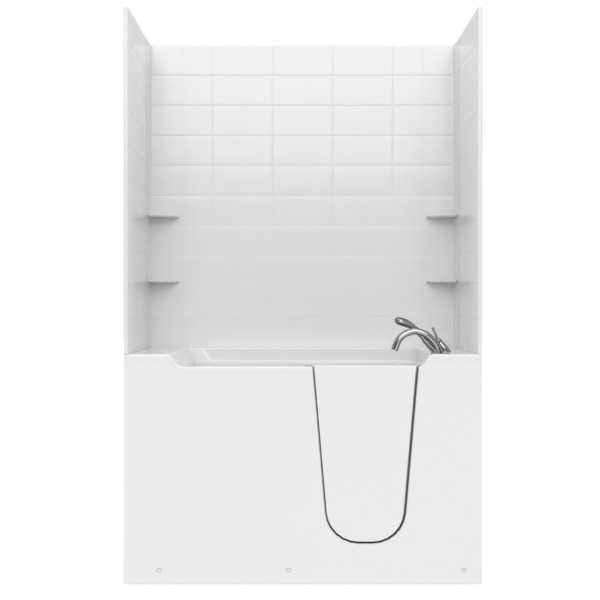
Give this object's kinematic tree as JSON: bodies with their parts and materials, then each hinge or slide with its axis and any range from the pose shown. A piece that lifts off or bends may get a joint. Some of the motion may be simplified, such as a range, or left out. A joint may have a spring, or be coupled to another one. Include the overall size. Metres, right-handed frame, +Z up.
{
  "type": "walk-in bathtub",
  "caption": "Walk-in bathtub with an inward-opening door, seat and footwell, deck spout and hand shower, and three tile-pattern shower walls with corner shelves.",
  "frame": {"origin": "on the floor, under the centre of the tub's plan", "axes": "+X to the right seen from the front, +Y from the skirt to the back wall, +Z up"},
  "size_m": [1.524, 0.762, 2.4513],
  "materials": {
    "acrylic": "gloss white acrylic",
    "wall": "gloss white acrylic panel",
    "chrome": "polished chrome",
    "steel": "stainless steel",
    "zinc": "zinc coated steel",
    "rubber": "black seal",
    "pipe": "white waste pipe",
    "black_plastic": "black moulded pad"
  },
  "bodies": {
    "tub": {"back_wall_panel": "wall", "base_rail_back": "zinc", "base_rail_front": "zinc", "corner_column_left": "wall", "corner_column_right": "wall", "corner_post_left_back": "zinc", "corner_post_left_front": "zinc", "corner_post_right_back": "zinc", "corner_post_right_front": "zinc", "cross_rail_left": "zinc", "cross_rail_middle": "zinc", "cross_rail_right": "zinc", "door_frame": "steel", "drain_flange": "chrome", "drain_tee": "pipe", "foot_back_left": "black_plastic", "foot_back_middle": "black_plastic", "foot_back_right": "black_plastic", "foot_front_left": "black_plastic", "foot_front_middle": "black_plastic", "foot_front_right": "black_plastic", "front_panel": "acrylic", "handset_holder": "chrome", "hinge_pin_lower": "steel", "hinge_pin_upper": "steel", "holder_nut": "zinc", "latch_keeper": "steel", "left_wall_panel": "wall", "overflow_pipe": "pipe", "overflow_plate": "chrome", "panel_screw_left": "steel", "panel_screw_middle": "steel", "panel_screw_right": "steel", "right_wall_panel": "wall", "seat_post_back": "zinc", "seat_post_front": "zinc", "shelf_left_lower": "wall", "shelf_left_upper": "wall", "shelf_right_lower": "wall", "shelf_right_upper": "wall", "spout": "chrome", "spout_aerator": "steel", "spout_nut": "zinc", "tub_shell": "acrylic", "valve_body": "chrome", "valve_nut": "zinc"},
    "door": {"door_leaf": "acrylic", "door_gasket": "rubber", "hinge_arm_upper": "steel", "hinge_arm_lower": "steel", "latch_housing": "chrome"},
    "latch_lever": {"latch_lever": "chrome"},
    "latch_bolt": {"latch_bolt": "steel"},
    "handset": {"handset": "chrome"},
    "valve_cap": {"valve_cap": "chrome"},
    "valve_lever": {"valve_lever": "chrome"},
    "overflow_knob": {"overflow_knob": "chrome"},
    "drain_plug": {"drain_plug": "chrome"}
  },
  "joints": [
    {"name": "door_swing", "type": "hinge", "parent": "tub", "child": "door", "pos_m": [0.5134, -0.3118, 0.58], "axis": [0, 0, -1], "range_deg": [0, 80]},
    {"name": "latch_turn", "type": "hinge", "parent": "door", "child": "latch_lever", "pos_m": [0.0723, -0.2885, 0.7], "axis": [0, 1, 0], "range_deg": [0, 90]},
    {"name": "latch_slide", "type": "slide", "parent": "door", "child": "latch_bolt", "axis": [-1, 0, 0], "range_m": [0, 0.02]},
    {"name": "handset_lift", "type": "slide", "parent": "tub", "child": "handset", "axis": [-0.6947, 0, 0.7193], "range_m": [0, 0.12]},
    {"name": "valve_swivel", "type": "hinge", "parent": "tub", "child": "valve_cap", "pos_m": [0.60953, -0.13, 1.01977], "axis": [-0.6018, 0, 0.7986], "range_deg": [-40, 40]},
    {"name": "valve_tilt", "type": "hinge", "parent": "valve_cap", "child": "valve_lever", "pos_m": [0.60411, -0.13, 1.02696], "axis": [0, 1, 0], "range_deg": [-25, 0]},
    {"name": "overflow_turn", "type": "hinge", "parent": "tub", "child": "overflow_knob", "pos_m": [0.2775, 0.2714, 0.82], "axis": [0, -1, 0], "range_deg": [0, 90]},
    {"name": "plug_lift", "type": "slide", "parent": "tub", "child": "drain_plug", "axis": [0, 0, 1], "range_m": [0, 0.012]}
  ],
  "couplings": [
    {"joint": "latch_slide", "follows": "latch_turn", "m_per_rad": 0.012732},
    {"joint": "plug_lift", "follows": "overflow_turn", "m_per_rad": 0.007639}
  ]
}
